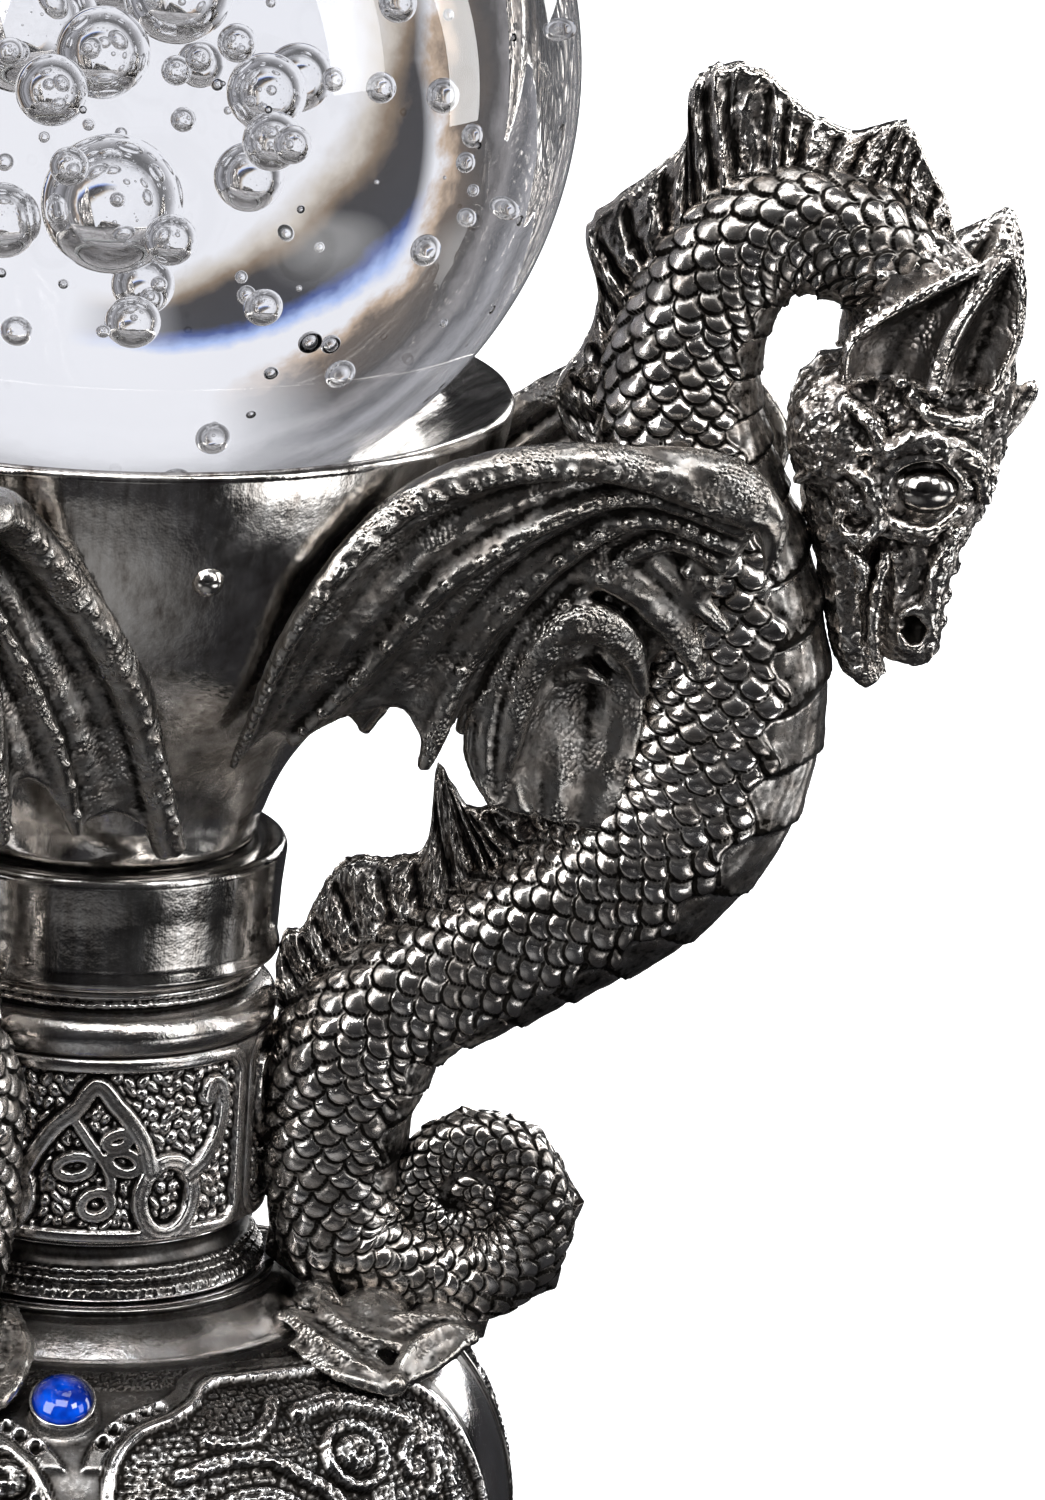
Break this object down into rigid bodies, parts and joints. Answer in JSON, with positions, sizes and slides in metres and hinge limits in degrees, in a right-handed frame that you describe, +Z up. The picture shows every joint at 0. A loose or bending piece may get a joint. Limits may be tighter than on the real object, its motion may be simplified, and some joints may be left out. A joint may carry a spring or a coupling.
{
  "type": "crystal ball on a dragon stand",
  "caption": "Solid clear glass ball that lifts off a loose soft ring in a flared cup, carried by a round column on a domed base with sea dragons around it.",
  "frame": {"origin": "centre of the felt pad's underside, on the axis of the ball and column", "axes": "+Z up through the ball's centre; +X towards the dragon_right node; the front faces -Y"},
  "size_m": [0.1548, 0.1742, 0.24],
  "materials": {
    "clear_glass": "polished clear glass with trapped air bubbles",
    "antique_pewter": "dark antique pewter plating over cast relief, blackened recesses and bright worn high points",
    "polished_pewter": "polished dark pewter plating with faint streaks",
    "blue_gem": "polished deep blue domed glass",
    "felt": "short black felt",
    "soft_ring": "matt grey soft ring"
  },
  "bodies": {
    "stand": {"felt_pad": "felt", "base": "antique_pewter", "waist_ring": "antique_pewter", "column_drum": "antique_pewter", "collar": "polished_pewter", "cup": "polished_pewter", "gem_right": "blue_gem", "gem_left": "blue_gem", "gem_back": "blue_gem", "dragon_right": "antique_pewter", "wing_right_a": "antique_pewter", "wing_right_b": "antique_pewter", "dragon_left": "antique_pewter", "wing_left_a": "antique_pewter", "wing_left_b": "antique_pewter", "dragon_back": "antique_pewter", "wing_back_a": "antique_pewter", "wing_back_b": "antique_pewter"},
    "seat": {"seat_ring": "soft_ring"},
    "ball": {"crystal_ball": "clear_glass"}
  },
  "joints": [
    {"name": "ball_turn", "type": "hinge", "parent": "stand", "child": "seat", "pos_m": [0, 0, 0.146], "axis": [0, 0, 1], "continuous": true},
    {"name": "ball_lift", "type": "slide", "parent": "seat", "child": "ball", "axis": [0, 0, 1], "range_m": [0, 0.06]}
  ]
}
